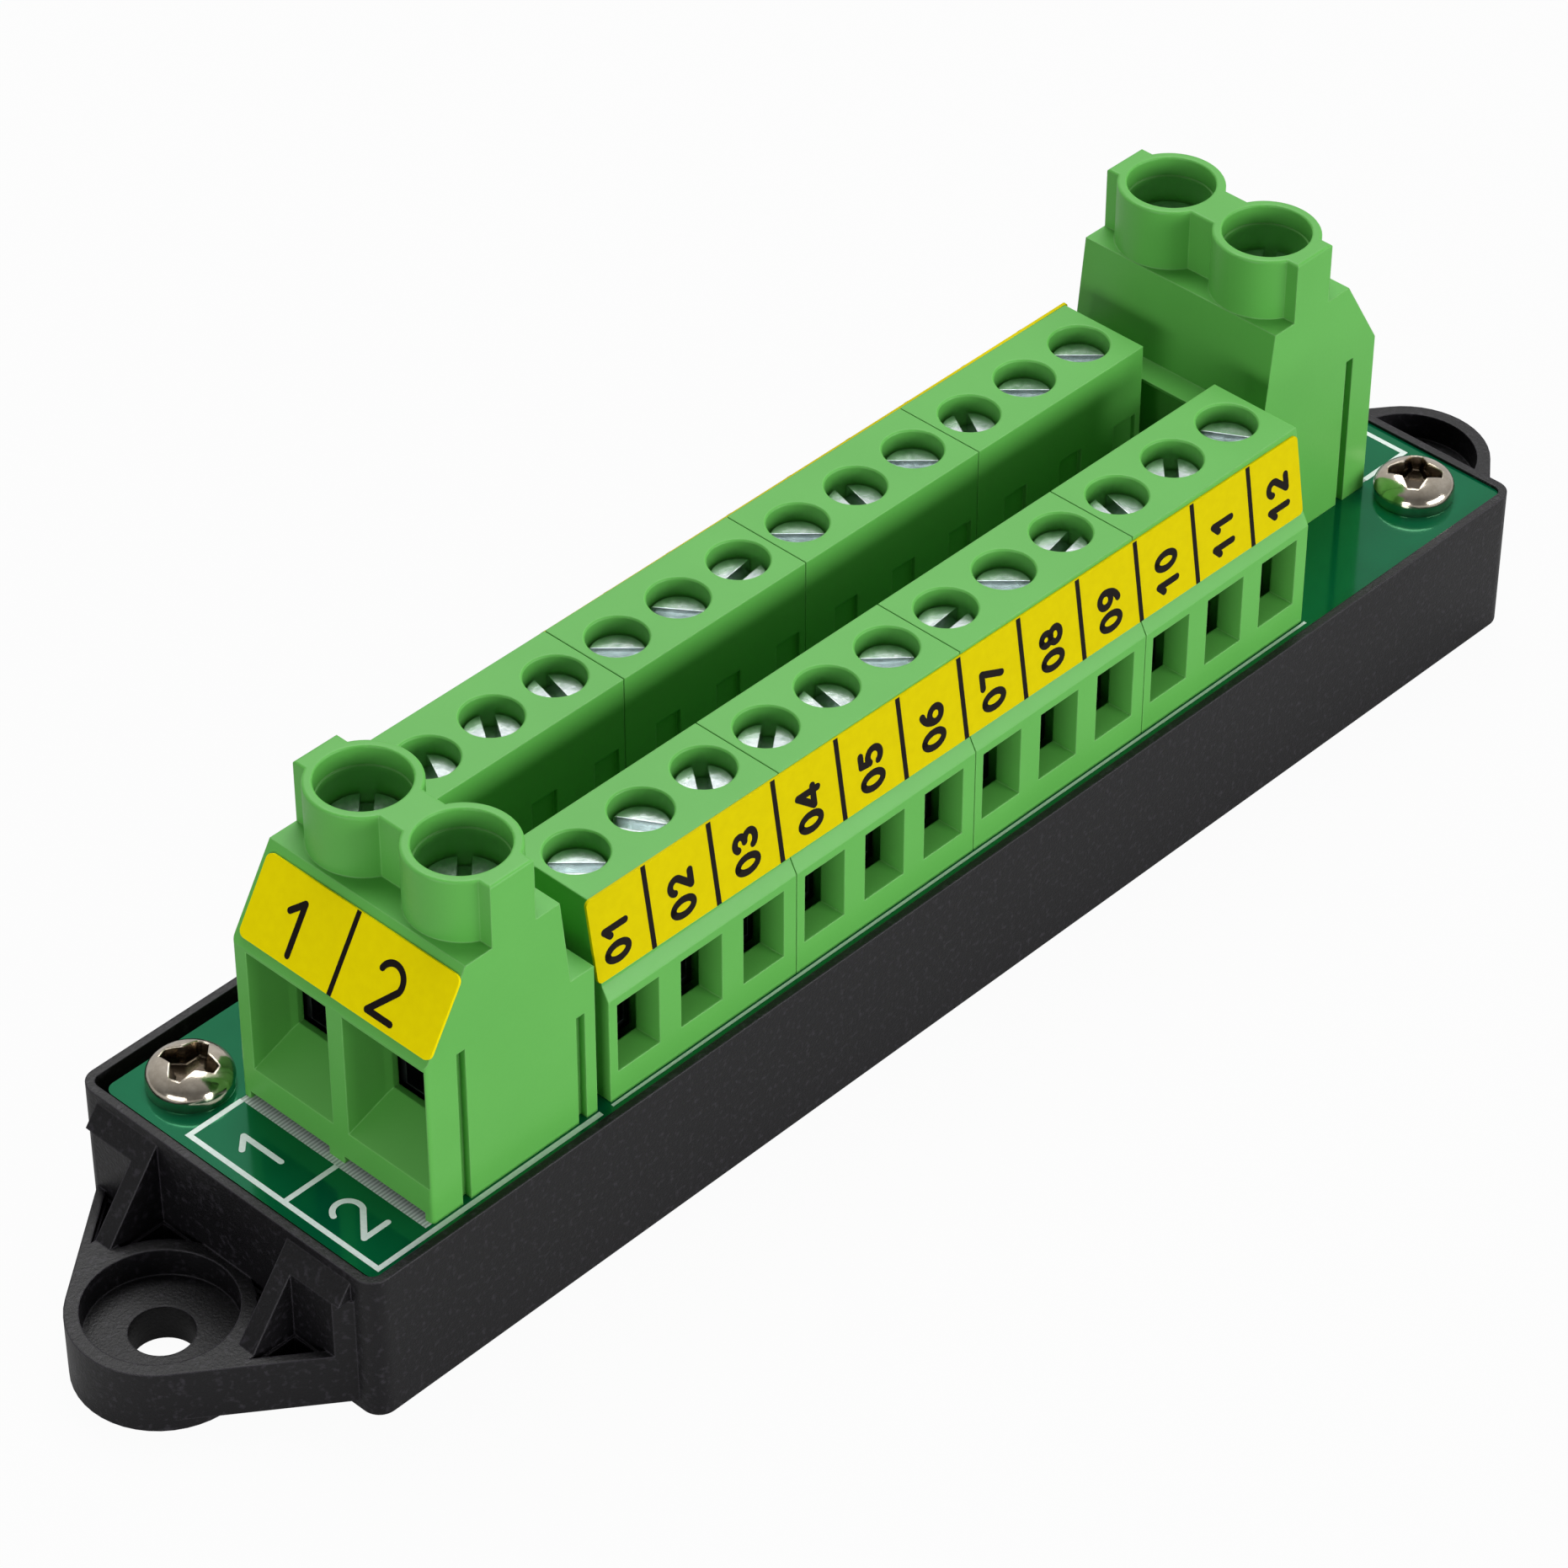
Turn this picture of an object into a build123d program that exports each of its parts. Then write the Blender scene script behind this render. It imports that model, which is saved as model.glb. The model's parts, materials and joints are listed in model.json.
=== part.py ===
from build123d import *
import os
from math import asin, atan2, hypot, tan

os.makedirs("parts", exist_ok=True)

# Frame: millimetres, +Z up, +X along the tray, origin at the bottom centre of the tray.
# The object is the same after half a turn about Z, so each left or front piece is made
# once and its partner is that piece turned by 180 degrees.

# Moulded tray
tray_length = 98.9
tray_width = 24.0
tray_corner = 1.2
tray_wall = 1.9             # below the board
tray_floor = 1.6
base_to_board = 10.0        # from the resting face up to the board's upper face
rim_rise = 0.2              # rim above the board
rim_wall = 0.55
tray_edge = 0.25            # rounded lower edge
tray_height = base_to_board + rim_rise

# Mounting ears
ear_hole_spacing = 108.8
ear_hole_dia = 3.8
ear_recess_dia = 8.9
ear_recess_depth = 1.9
ear_ring_wall = 0.85
ear_height = 4.3
ear_tab_lift = 0.75         # the tab's underside above the boss's foot
ear_root_width = 21.0
ear_head_width = 20.6       # across the sloping heads beside the ribs
ear_root_depth = 0.5        # how far the tab reaches into the tray wall
ear_side_wall = 0.55
ear_floor = 0.9
ear_pocket_stop = 1.6       # from the end of the middle pocket to the hole's axis
rib_thickness = 1.2
rib_top_drop = 0.6          # below the rim
rib_reach = 3.95
backing_thickness = 0.95
pocket_step = 0.15
pocket_step_depth = 0.5

# Circuit board
board_thickness = 1.6
board_play_x = 0.2
board_play_y = 0.9
board_corner_extra = 0.05   # larger than the recess's corner, so that the board seats
board_screw_from_end = 4.45
board_screw_y = 7.4

# Board screws
board_screw_dia = 2.9
board_screw_head_dia = 5.15
board_screw_head_rise = 2.0
board_screw_length = 7.0
board_screw_post_dia = 6.2
board_screw_edge = 0.65     # straight edge of the domed head
board_screw_turns = (20, 35)
recess_span = 3.6
recess_arm = 0.8            # at the ends of the arms
recess_root = 1.6           # where the arms meet
recess_depth = 1.3
recess_taper = 12

# Small three-way housings, heights counted from the board
ways_per_row = 12
ways_per_block = 3
small_pitch = 5.0
row_spacing = 11.8          # between the two lines of screws
block_gap = 0.05            # between neighbouring housings
small_height = 14.0
small_front = 4.8           # front face, from the screw line
small_top_front = 3.35
small_label_foot_out = 4.3
small_back = 3.05
small_face_height = 7.4
small_label_foot = 8.3
small_edge_round = 0.18
small_end_bevel = 0.03
small_rim_bevel = 0.1

small_head_sink = 1.2       # screw head below the housing's top
small_head_dia = 3.5
small_head_height = 1.5
small_shank_dia = 2.5
small_thread_pitch = 0.45
small_slot_width = 0.85
small_slot_depth = 1.0
small_access_gap = 0.125    # around the head, radial
small_shelf = 1.4           # thickness of the seat under the head
shank_gap = 0.1             # shank in the housing, radial
thread_gap = 0.05           # shank in the cage, radial

small_chamber_width = 3.8
small_back_wall = 0.6
small_funnel_depth = 1.65
small_funnel_shift = -0.2   # the wire entry's middle, from the screw line
small_entry_width = 3.3
small_entry_low = 1.95
small_entry_high = 6.85
small_entry_taper = 0.25
small_window_width = 2.0
small_window_low = 6.6
small_window_high = 9.2
small_window_depth = 0.3

small_cage_width = 3.3
small_cage_length = 3.9
small_cage_side = 0.45
small_cage_base = 0.6
small_cage_top = 1.3
small_cage_clear = 0.2      # left above the cage when it is fully raised
small_cage_turns = 5
small_strip_thickness = 0.5
small_strip_width = 2.0
small_strip_gap = 0.2       # strip below the cage's top plate, at rest
small_tongue_clear = 0.2    # between the cage and the strip's leg
small_pin_width = 0.9

# Feed housings, heights counted from the board
feed_pitch = 7.62
feed_ways = 2
feed_gap = 0.95             # from the row's end to the feed housing
feed_depth = 12.6
feed_side = -3.0            # the left feed housing's middle, across the tray
feed_face_height = 11.3
feed_slope_run = 3.2
feed_shoulder_height = 16.7
feed_tower_height = 20.9
feed_tower_x = 6.8          # screw line, behind the front face
feed_tower_dia = 6.7
feed_web = 3.24
feed_rear_step = 10.2
feed_rear_lean = 0.64
feed_ledge_height = 10.7
feed_edge_round = 0.25
feed_top_round = 0.18
feed_access_gap = 0.13      # around the head, radial
feed_access_mouth_dia = 5.48
feed_access_mouth_depth = 1.3
feed_mouth_round = 0.12
feed_groove_depth = 0.5
feed_groove_width = 0.65
feed_groove_from_edge = 2.25
feed_groove_front_height = 11.0
feed_groove_rear_height = 7.8
feed_groove_rear_from_edge = 0.8
feed_foot_gap = 0.55        # the front face's lower edge above the board, between its feet
feed_foot_depth = 1.9
feed_foot_width = 1.2       # the middle foot
feed_foot_end = 0.6         # each foot at a corner

feed_head_sink = 2.95
feed_head_dia = 5.04
feed_head_height = 1.9
feed_shank_dia = 3.5
feed_thread_pitch = 0.6
feed_slot_width = 0.8
feed_slot_depth = 0.9
feed_shelf = 1.95

feed_chamber_width = 5.9
feed_chamber_front = 3.4
feed_chamber_back = 9.5
feed_foot_back = 11.0       # the chamber's deeper lower part, under the rear ledge
feed_foot_height = 9.6
feed_pocket_depth = 1.0     # shallow pocket in the rear face, under the ledge
feed_pocket_width = 6.0
feed_pocket_low = 1.0
feed_pocket_lip = 0.2
feed_funnel_depth = 2.5
feed_entry_width = 6.38
feed_entry_shift = -0.46
feed_entry_low = 2.5
feed_entry_high = 11.1
feed_entry_rise = 1.55
feed_entry_taper = 0.4
feed_throat_width = 4.7
feed_throat_shift = -0.15
feed_throat_rise = 0.3      # of the floor, in the funnel's steep inner part
feed_throat_run = 0.5       # length of that part

feed_cage_width = 5.5
feed_cage_length = 5.25
feed_cage_side = 0.8
feed_cage_base = 1.0
feed_cage_top = 1.9
feed_cage_clear = 0.3
feed_cage_turns = 5
feed_cage_front_gap = 0.35
feed_strip_thickness = 0.8
feed_strip_width = 3.4
feed_strip_gap = 0.3
feed_pin_width = 1.0
feed_pin_spacing = 2.4

# Solder pins and their holes
pin_below_board = 1.6
pin_hole_gap = 0.12

# Marking labels
label_thickness = 0.18
strip_label_length = 60.08
strip_label_width = 5.45
strip_label_shift = -0.26   # stuck a little off the middle and a little skew
strip_label_skew = -0.38
strip_label_corner = 0.35
feed_label_width = 15.0
feed_label_shift = -0.25
feed_label_inset = 0.59
feed_label_corner = 0.45

# Places worked out from the sizes above
half_length = tray_length / 2
board_screw_x = half_length - board_screw_from_end
board_bottom = base_to_board - board_thickness
ear_x = ear_hole_spacing / 2
ear_ring_radius = ear_recess_dia / 2 + ear_ring_wall
row_y = row_spacing / 2
block_length = ways_per_block * small_pitch - block_gap
blocks_per_row = ways_per_row // ways_per_block
row_half = ways_per_row * small_pitch / 2
feed_front_x = row_half + feed_gap + feed_depth
feed_half = feed_ways * feed_pitch / 2
half_turn = Location((0, 0, 0), (0, 0, 180))

small_top = base_to_board + small_height
small_head_top = small_top - small_head_sink
small_seat = small_head_top - small_head_height
small_chamber_top = small_seat - small_shelf
small_travel = small_cage_turns * small_thread_pitch
small_cage_z = small_chamber_top - small_cage_clear - small_travel   # top of the lowered cage
small_cage_ceiling = small_cage_z - small_cage_top
small_strip_top = small_cage_ceiling - small_strip_gap
small_cage_floor = base_to_board + small_entry_low + small_entry_taper
small_chamber_y = -row_y - small_front + small_funnel_depth
small_chamber_end = -row_y + small_back - small_back_wall
small_leg_y = small_chamber_end - small_strip_thickness
small_cage_back = small_leg_y - small_tongue_clear
small_cage_front = small_cage_back - small_cage_length

feed_top = base_to_board + feed_tower_height
feed_head_top = feed_top - feed_head_sink
feed_seat = feed_head_top - feed_head_height
feed_chamber_top = feed_seat - feed_shelf
feed_travel = feed_cage_turns * feed_thread_pitch
feed_cage_z = feed_chamber_top - feed_cage_clear - feed_travel
feed_cage_ceiling = feed_cage_z - feed_cage_top
feed_strip_top = feed_cage_ceiling - feed_strip_gap
feed_cage_floor = base_to_board + feed_entry_low + feed_entry_rise + feed_throat_rise
feed_cage_front = feed_chamber_front + feed_cage_front_gap
feed_leg_x = feed_foot_back - feed_strip_thickness

pin_bottom = board_bottom - pin_below_board


def across(y):
    """Plane that faces -Y at this Y, with X to the right and Z up."""
    return Plane.XZ.offset(-y)


def save(piece, name):
    """Label one finished piece and write it as its own file."""
    piece.label = name
    export_step(piece, f"parts/{name}.step")


def save_group(pieces, name):
    """Write like pieces as one group of separate solids."""
    save(Compound(children=pieces), name)


def way_positions(row_turned=False):
    """Screw line of each way of a row, from left to right."""
    side = 1 if row_turned else -1
    return [((n - (ways_per_row - 1) / 2) * small_pitch, side * row_y) for n in range(ways_per_row)]


# Tray
with BuildPart() as tray:
    with BuildSketch():
        RectangleRounded(tray_length, tray_width, tray_corner)
    extrude(amount=tray_height)
    fillet(tray.edges().group_by(Axis.Z)[0], radius=tray_edge)
    for side in (-1, 1):
        with BuildSketch(Plane.XY.offset(ear_tab_lift)):
            with Locations((side * ear_x, 0)):
                Circle(ear_ring_radius)
            with Locations((side * (half_length - ear_root_depth / 2), 0)):
                Rectangle(ear_root_depth, ear_root_width)
            make_hull()
        extrude(amount=ear_height - ear_tab_lift)
        with BuildSketch():
            with Locations((side * ear_x, 0)):
                Circle(ear_ring_radius)
        extrude(amount=ear_height)
        # sloping ribs from the end wall down to the ring, and the backing beside them
        rib_top = tray_height - rib_top_drop
        slope = (rib_top - ear_height) / rib_reach
        root = half_length - ear_root_depth
        rib_outer = ear_ring_radius + rib_thickness
        for y in (rib_outer, -ear_ring_radius):
            with BuildSketch(across(y)):
                Polygon(
                    (side * root, ear_tab_lift),
                    (side * (half_length + rib_reach), ear_tab_lift),
                    (side * (half_length + rib_reach), ear_height),
                    (side * half_length, rib_top),
                    (side * root, rib_top),
                    align=None,
                )
            extrude(amount=rib_thickness)
        outer_y = ear_root_width / 2
        backing_x = half_length + backing_thickness
        backing_top = rib_top - slope * backing_thickness
        reach = ear_x - half_length
        lean = tan(atan2(outer_y, reach) - asin(ear_ring_radius / hypot(outer_y, reach)))
        with BuildSketch(Plane.XY.offset(ear_tab_lift)):
            for y_side in (-1, 1):
                Polygon(
                    (side * root, y_side * rib_outer),
                    (side * backing_x, y_side * rib_outer),
                    (side * backing_x, y_side * (outer_y - lean * backing_thickness)),
                    (side * half_length, y_side * outer_y),
                    (side * root, y_side * outer_y),
                    align=None,
                )
        extrude(amount=backing_top - ear_tab_lift)
        for y in (ear_head_width / 2, -rib_outer):
            with BuildSketch(across(y)):
                Polygon(
                    (side * root, backing_top),
                    (side * backing_x, backing_top),
                    (side * half_length, rib_top),
                    (side * root, rib_top),
                    align=None,
                )
            extrude(amount=ear_head_width / 2 - rib_outer)
        # middle pocket between the ribs, and one three-cornered pocket outside each rib
        inner_y = outer_y - ear_side_wall * hypot(1, lean) - lean * backing_thickness
        tip_x = backing_x + (inner_y - rib_outer) / lean
        for shrink, low, high in (
            (pocket_step, ear_tab_lift + ear_floor, ear_height - pocket_step_depth),
            (0, ear_height - pocket_step_depth, tray_height),
        ):
            with BuildSketch(Plane.XY.offset(low)):
                with Locations((side * (half_length + ear_x - ear_pocket_stop) / 2, 0)):
                    Rectangle(reach - ear_pocket_stop - 2 * shrink, 2 * (ear_ring_radius - shrink))
                with Locations((side * ear_x, 0)):
                    Circle(ear_ring_radius + shrink, mode=Mode.SUBTRACT)
                for y_side in (-1, 1):
                    Polygon(
                        (side * (backing_x + shrink), y_side * (rib_outer + shrink)),
                        (side * (tip_x - 2 * shrink), y_side * (rib_outer + shrink)),
                        (side * (backing_x + shrink), y_side * (inner_y - 2 * shrink)),
                        align=None,
                    )
            extrude(amount=high - low, mode=Mode.SUBTRACT)
        with Locations((side * ear_x, 0, ear_height)):
            CounterBoreHole(ear_hole_dia / 2, ear_recess_dia / 2, ear_recess_depth, depth=ear_height)
    # recess for the board, and the hollow under it
    with BuildSketch(Plane.XY.offset(board_bottom)):
        RectangleRounded(tray_length - 2 * rim_wall, tray_width - 2 * rim_wall, tray_corner - rim_wall)
    extrude(amount=board_thickness + rim_rise, mode=Mode.SUBTRACT)
    with BuildSketch(Plane.XY.offset(tray_floor)):
        Rectangle(tray_length - 2 * tray_wall, tray_width - 2 * tray_wall)
    extrude(amount=board_bottom - tray_floor, mode=Mode.SUBTRACT)
    # posts that take the board screws
    with BuildSketch(Plane.XY.offset(tray_floor)):
        with Locations((-board_screw_x, board_screw_y), (board_screw_x, -board_screw_y)):
            Circle(board_screw_post_dia / 2)
    extrude(amount=board_bottom - tray_floor)
    with BuildSketch(Plane.XY.offset(board_bottom)):
        with Locations((-board_screw_x, board_screw_y), (board_screw_x, -board_screw_y)):
            Circle(board_screw_dia / 2 + thread_gap)
    extrude(amount=-(board_bottom - tray_floor), mode=Mode.SUBTRACT)
save(tray.part, "carrier_tray")

# Circuit board, lying against the tray's right and front walls
board_length = tray_length - 2 * rim_wall - board_play_x
board_width = tray_width - 2 * rim_wall - board_play_y
feed_pin_y = [
    feed_side + (n - (feed_ways - 1) / 2) * feed_pitch + s * feed_pin_spacing / 2
    for n in range(feed_ways)
    for s in (-1, 1)
]
feed_pin_x = -feed_front_x + feed_leg_x + feed_strip_thickness / 2
small_pin_y = small_leg_y + small_strip_thickness / 2
with BuildPart() as board:
    with BuildSketch(Plane.XY.offset(board_bottom)):
        with Locations((board_play_x / 2, -board_play_y / 2)):
            RectangleRounded(board_length, board_width, tray_corner - rim_wall + board_corner_extra)
        with Locations((-board_screw_x, board_screw_y), (board_screw_x, -board_screw_y)):
            Circle(board_screw_dia / 2 + shank_gap, mode=Mode.SUBTRACT)
        with Locations([(x, small_pin_y) for x, y in way_positions()]):
            Circle(hypot(small_pin_width, small_strip_thickness) / 2 + pin_hole_gap, mode=Mode.SUBTRACT)
        with Locations([(x, -small_pin_y) for x, y in way_positions()]):
            Circle(hypot(small_pin_width, small_strip_thickness) / 2 + pin_hole_gap, mode=Mode.SUBTRACT)
        with Locations([(feed_pin_x, y) for y in feed_pin_y] + [(-feed_pin_x, -y) for y in feed_pin_y]):
            Circle(hypot(feed_pin_width, feed_strip_thickness) / 2 + pin_hole_gap, mode=Mode.SUBTRACT)
    extrude(amount=board_thickness)
save(board.part, "circuit_board")

# Board screws: domed head with a cross recess
with BuildPart() as board_screw:
    with BuildSketch(Plane.XZ):
        with BuildLine():
            head_radius = board_screw_head_dia / 2
            Line((0, 0), (head_radius, 0))
            Line((head_radius, 0), (head_radius, board_screw_edge))
            EllipticalCenterArc((0, board_screw_edge), head_radius, board_screw_head_rise - board_screw_edge,
                                start_angle=0, arc_size=90)
            Line((0, board_screw_head_rise), (0, 0))
        make_face()
    revolve(axis=Axis.Z)
    with BuildSketch():
        Circle(board_screw_dia / 2)
    extrude(amount=-board_screw_length)
    tip, arm, root = recess_span / 2, recess_arm / 2, recess_root / 2
    with BuildSketch(Plane.XY.offset(board_screw_head_rise)):
        for turn in (0, 90):
            Polygon((tip, arm), (root, root), (-root, root), (-tip, arm),
                    (-tip, -arm), (-root, -root), (root, -root), (tip, -arm), align=None, rotation=turn)
    extrude(amount=-recess_depth, taper=recess_taper, mode=Mode.SUBTRACT)
save_group(
    [
        board_screw.part.moved(Location((x, y, base_to_board), (0, 0, turn)))
        for x, y, turn in (
            (-board_screw_x, board_screw_y, board_screw_turns[0]),
            (board_screw_x, -board_screw_y, board_screw_turns[1]),
        )
    ],
    "board_screws",
)

# Small three-way housing, made at the middle of the front row
front_y = -row_y - small_front
back_y = -row_y + small_back
way_x = [(n - (ways_per_block - 1) / 2) * small_pitch for n in range(ways_per_block)]
with BuildPart() as small_housing:
    with BuildSketch(Plane.YZ.offset(-block_length / 2)):
        with BuildLine():
            Polyline(
                (front_y, base_to_board),
                (front_y, base_to_board + small_face_height),
                (-row_y - small_label_foot_out, base_to_board + small_label_foot),
                (-row_y - small_top_front, small_top),
                (back_y, small_top),
                (back_y, base_to_board),
                close=True,
            )
        make_face()
        fillet([v for v in vertices() if v.Z > base_to_board + small_face_height / 2],
               radius=small_edge_round)
    extrude(amount=block_length)
    chamfer(small_housing.faces().filter_by(Axis.X).edges(), length=small_end_bevel)
    with BuildSketch(Plane.XY.offset(base_to_board)):
        with Locations([(x, (small_chamber_y + small_chamber_end) / 2) for x in way_x]):
            Rectangle(small_chamber_width, small_chamber_end - small_chamber_y)
    extrude(amount=small_chamber_top - base_to_board, mode=Mode.SUBTRACT)
    with BuildSketch(Plane.XY.offset(small_top)):
        with Locations([(x, -row_y) for x in way_x]):
            Circle(small_head_dia / 2 + small_access_gap)
    extrude(amount=-(small_top - small_seat), mode=Mode.SUBTRACT)
    chamfer(
        small_housing.edges().filter_by(GeomType.CIRCLE).group_by(Axis.Z)[-1],
        length=small_rim_bevel,
    )
    with BuildSketch(Plane.XY.offset(small_seat)):
        with Locations([(x, -row_y) for x in way_x]):
            Circle(small_shank_dia / 2 + shank_gap)
    extrude(amount=-small_shelf, mode=Mode.SUBTRACT)
    entry_mid = base_to_board + (small_entry_low + small_entry_high) / 2
    entry_height = small_entry_high - small_entry_low
    for x in way_x:
        with BuildSketch(across(front_y)):
            with Locations((x + small_funnel_shift, entry_mid)):
                Rectangle(small_entry_width, entry_height)
        with BuildSketch(across(small_chamber_y)):
            with Locations((x + small_funnel_shift - small_entry_taper / 2, entry_mid + small_entry_taper / 2)):
                Rectangle(small_entry_width - small_entry_taper, entry_height - small_entry_taper)
        loft(mode=Mode.SUBTRACT)
    with BuildSketch(across(back_y)):
        with Locations([(x - small_window_width / 2, base_to_board + (small_window_low + small_window_high) / 2)
                        for x in way_x]):
            Rectangle(small_window_width, small_window_high - small_window_low)
    extrude(amount=small_window_depth, mode=Mode.SUBTRACT)

# Small clamp screw with its axis on Z
with BuildPart() as small_screw:
    with BuildSketch(Plane.XY.offset(small_seat)):
        Circle(small_head_dia / 2)
    extrude(amount=small_head_height)
    chamfer(small_screw.edges().group_by(Axis.Z)[-1], length=small_rim_bevel)
    with BuildSketch(Plane.XY.offset(small_seat)):
        Circle(small_shank_dia / 2)
    extrude(amount=-(small_seat - small_strip_top - small_strip_gap))
    with BuildSketch(Plane.XY.offset(small_head_top)):
        Rectangle(small_head_dia * 2, small_slot_width)
    extrude(amount=-small_slot_depth, mode=Mode.SUBTRACT)

# Rising cage of a small way, lowered, at the middle of the front row
with BuildPart() as small_cage:
    with BuildSketch(across(small_cage_back)):
        with Locations((0, small_cage_floor - small_cage_base)):
            Rectangle(small_cage_width, small_cage_z - small_cage_floor + small_cage_base,
                      align=(Align.CENTER, Align.MIN))
        with Locations((0, small_cage_floor)):
            Rectangle(small_cage_width - 2 * small_cage_side, small_cage_ceiling - small_cage_floor,
                      align=(Align.CENTER, Align.MIN), mode=Mode.SUBTRACT)
    extrude(amount=small_cage_length)
    with BuildSketch(Plane.XY.offset(small_cage_z)):
        with Locations((0, -row_y)):
            Circle(small_shank_dia / 2 + thread_gap)
    extrude(amount=-small_cage_top, mode=Mode.SUBTRACT)

# Contact of a small way: a tongue through the cage, a leg down the back wall and a solder pin
with BuildPart() as small_contact:
    with BuildSketch(Plane.XY.offset(small_strip_top)):
        with Locations((0, (small_cage_front + small_chamber_end) / 2)):
            Rectangle(small_strip_width, small_chamber_end - small_cage_front)
    extrude(amount=-small_strip_thickness)
    with BuildSketch(across(small_chamber_end)):
        with Locations((0, (base_to_board + small_strip_top) / 2)):
            Rectangle(small_strip_width, small_strip_top - base_to_board)
        with Locations((0, (pin_bottom + base_to_board) / 2)):
            Rectangle(small_pin_width, base_to_board - pin_bottom)
    extrude(amount=small_strip_thickness)

# The two rows
block_x = [(n - (blocks_per_row - 1) / 2) * ways_per_block * small_pitch for n in range(blocks_per_row)]
contacts = []
for row, turned in (("front", False), ("rear", True)):
    for n, x in enumerate(block_x):
        place = half_turn * Location((-x, 0, 0)) if turned else Location((x, 0, 0))
        save(small_housing.part.moved(place), f"{row}_housing_{n + 1}")
        save_group([small_cage.part.moved(place * Location((dx, 0, 0))) for dx in way_x],
                   f"{row}_cages_{n + 1}")
        contacts += [small_contact.part.moved(place * Location((dx, 0, 0))) for dx in way_x]
save_group(contacts, "small_contacts")

# How far each slot is turned from the tray's length, in degrees, from left to right
front_slots = (-46, -59, 53, 37, 80, -44, 6, -46, 11, 76, 44, -60)
rear_slots = (64, 56, 76, -46, -54, 8, -46, 76, -46, 60, -46, -46)
for row, turned, slots in (("front", False, front_slots), ("rear", True, rear_slots)):
    for n, (x, y) in enumerate(way_positions(turned)):
        save(small_screw.part.moved(Location((x, y, 0), (0, 0, slots[n]))), f"{row}_screw_{n + 1:02d}")

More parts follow.
